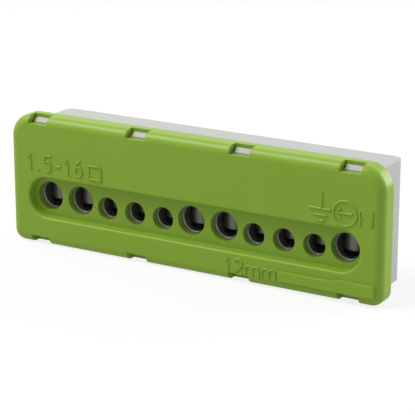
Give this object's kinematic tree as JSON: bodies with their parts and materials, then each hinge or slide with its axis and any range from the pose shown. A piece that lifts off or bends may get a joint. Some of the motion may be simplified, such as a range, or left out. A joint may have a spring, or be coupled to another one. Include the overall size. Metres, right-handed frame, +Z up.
{
  "type": "earth terminal bar",
  "caption": "Long earth terminal block: a green snap-fit cover with a row of round wire entries, over a bored metal bar with clamp screws in a pale moulded base.",
  "frame": {"origin": "middle of the bounding box's underside", "axes": "+X along the bar to the right seen from the front, +Y from the front face to the rear, +Z up; wires enter along +Y"},
  "size_m": [0.0836, 0.017, 0.0269],
  "materials": {
    "cover_plastic": "fine satin moulding, yellowish green",
    "base_plastic": "fine satin moulding, pale grey",
    "bar_metal": "plated, dull",
    "screw_metal": "plated, satin"
  },
  "bodies": {
    "block": {"cover": "cover_plastic", "base": "base_plastic", "terminal_bar": "bar_metal"},
    "screw_1": {"clamp_screw_1": "screw_metal"},
    "screw_2": {"clamp_screw_2": "screw_metal"},
    "screw_3": {"clamp_screw_3": "screw_metal"},
    "screw_4": {"clamp_screw_4": "screw_metal"},
    "screw_5": {"clamp_screw_5": "screw_metal"},
    "screw_6": {"clamp_screw_6": "screw_metal"},
    "screw_7": {"clamp_screw_7": "screw_metal"},
    "screw_8": {"clamp_screw_8": "screw_metal"},
    "screw_9": {"clamp_screw_9": "screw_metal"},
    "screw_10": {"clamp_screw_10": "screw_metal"},
    "screw_11": {"clamp_screw_11": "screw_metal"}
  },
  "joints": [
    {"name": "screw_1_travel", "type": "slide", "parent": "block", "child": "screw_1", "axis": [0, 0, 1], "range_m": [-0.0009, 0.0042]},
    {"name": "screw_2_travel", "type": "slide", "parent": "block", "child": "screw_2", "axis": [0, 0, 1], "range_m": [-0.0009, 0.0042]},
    {"name": "screw_3_travel", "type": "slide", "parent": "block", "child": "screw_3", "axis": [0, 0, 1], "range_m": [-0.0009, 0.003]},
    {"name": "screw_4_travel", "type": "slide", "parent": "block", "child": "screw_4", "axis": [0, 0, 1], "range_m": [-0.0009, 0.003]},
    {"name": "screw_5_travel", "type": "slide", "parent": "block", "child": "screw_5", "axis": [0, 0, 1], "range_m": [-0.0009, 0.003]},
    {"name": "screw_6_travel", "type": "slide", "parent": "block", "child": "screw_6", "axis": [0, 0, 1], "range_m": [-0.0009, 0.0042]},
    {"name": "screw_7_travel", "type": "slide", "parent": "block", "child": "screw_7", "axis": [0, 0, 1], "range_m": [-0.0009, 0.0042]},
    {"name": "screw_8_travel", "type": "slide", "parent": "block", "child": "screw_8", "axis": [0, 0, 1], "range_m": [-0.0009, 0.003]},
    {"name": "screw_9_travel", "type": "slide", "parent": "block", "child": "screw_9", "axis": [0, 0, 1], "range_m": [-0.0009, 0.003]},
    {"name": "screw_10_travel", "type": "slide", "parent": "block", "child": "screw_10", "axis": [0, 0, 1], "range_m": [-0.0009, 0.003]},
    {"name": "screw_11_travel", "type": "slide", "parent": "block", "child": "screw_11", "axis": [0, 0, 1], "range_m": [-0.0009, 0.0042]}
  ]
}
